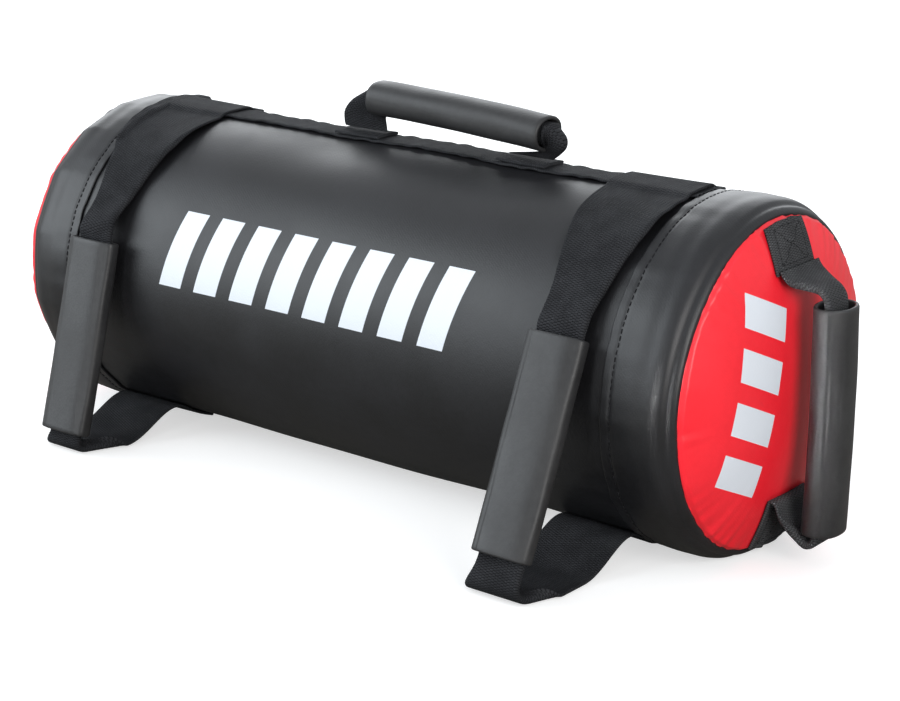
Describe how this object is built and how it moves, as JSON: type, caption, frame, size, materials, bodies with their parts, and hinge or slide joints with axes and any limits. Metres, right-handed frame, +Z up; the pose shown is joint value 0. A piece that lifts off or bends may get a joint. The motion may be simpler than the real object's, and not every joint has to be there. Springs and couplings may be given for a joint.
{
  "type": "sandbag trainer",
  "caption": "Cylindrical sand-filled training bag in artificial leather, lying on its side, with sewn webbing straps and sleeved grips on top, front and both ends.",
  "frame": {"origin": "on the floor, in the middle of the flat strip that the bag rests on, halfway along its length", "axes": "+X along the bag towards its right end, -Y towards the front with the two side loops, +Z up"},
  "size_m": [0.594, 0.2611, 0.234],
  "materials": {
    "black_cover": "satin black artificial leather, fine grain",
    "red_cover": "semi-gloss red artificial leather",
    "webbing": "matt black woven webbing",
    "grip_sleeve": "satin dark grey-black sleeve",
    "foam": "open-cell foam",
    "inner_cloth": "close-woven cloth",
    "sand": "dry sand"
  },
  "bodies": {
    "root": {"body_cover": "black_cover", "end_ring_left": "black_cover", "end_ring_right": "black_cover", "end_cap_left": "red_cover", "end_cap_right": "red_cover", "padding_wrap": "foam", "padding_disc_left": "foam", "padding_disc_right": "foam", "inner_bag": "inner_cloth", "inner_bag_lid": "inner_cloth", "sand_fill": "sand", "top_strip": "webbing", "upper_patch_left": "webbing", "upper_patch_right": "webbing", "lower_patch_left": "webbing", "lower_patch_right": "webbing", "side_strap_upper_left": "webbing", "side_strap_upper_right": "webbing", "side_strap_foot_left": "webbing", "side_strap_foot_right": "webbing", "side_strap_return_left": "webbing", "side_strap_return_right": "webbing", "top_handle_tab_left": "webbing", "top_handle_tab_right": "webbing"},
    "top_handle": {"top_handle_strap": "webbing", "top_handle_grip": "grip_sleeve"},
    "side_loop_left": {"side_strap_left": "webbing"},
    "side_sleeve_left": {"side_grip_left": "grip_sleeve"},
    "end_loop_left": {"end_strap_left": "webbing"},
    "end_sleeve_left": {"end_grip_left": "grip_sleeve"},
    "side_loop_right": {"side_strap_right": "webbing"},
    "side_sleeve_right": {"side_grip_right": "grip_sleeve"},
    "end_loop_right": {"end_strap_right": "webbing"},
    "end_sleeve_right": {"end_grip_right": "grip_sleeve"}
  },
  "joints": [
    {"name": "top_handle_fold", "type": "hinge", "parent": "root", "child": "top_handle", "pos_m": [0.03, 0, 0.20348], "axis": [1, 0, 0], "range_deg": [-41, 41]},
    {"name": "side_loop_lift_left", "type": "hinge", "parent": "root", "child": "side_loop_left", "pos_m": [-0.177, -0.07163, 0.16961], "axis": [-1, 0, 0], "range_deg": [0, 15], "deforming": ["side_strap_return_left"]},
    {"name": "side_grip_slide_left", "type": "slide", "parent": "side_loop_left", "child": "side_sleeve_left", "axis": [0, 0.2584, 0.966], "range_m": [-0.003, 0.004]},
    {"name": "end_handle_swing_left", "type": "hinge", "parent": "root", "child": "end_loop_left", "pos_m": [-0.26187, 0, 0.09798], "axis": [0, 0, 1], "range_deg": [-30, 30], "deforming": ["end_strap_left"]},
    {"name": "end_grip_slide_left", "type": "slide", "parent": "end_loop_left", "child": "end_sleeve_left", "axis": [0, 0, 1], "range_m": [0, 0.006]},
    {"name": "side_loop_lift_right", "type": "hinge", "parent": "root", "child": "side_loop_right", "pos_m": [0.177, -0.07163, 0.16961], "axis": [-1, 0, 0], "range_deg": [0, 15], "deforming": ["side_strap_return_right"]},
    {"name": "side_grip_slide_right", "type": "slide", "parent": "side_loop_right", "child": "side_sleeve_right", "axis": [0, 0.3998, 0.9166], "range_m": [-0.008, 0.004]},
    {"name": "end_handle_swing_right", "type": "hinge", "parent": "root", "child": "end_loop_right", "pos_m": [0.26187, 0, 0.09798], "axis": [0, 0, 1], "range_deg": [-30, 30], "deforming": ["end_strap_right"]},
    {"name": "end_grip_slide_right", "type": "slide", "parent": "end_loop_right", "child": "end_sleeve_right", "axis": [0, 0, 1], "range_m": [0, 0.006]}
  ]
}
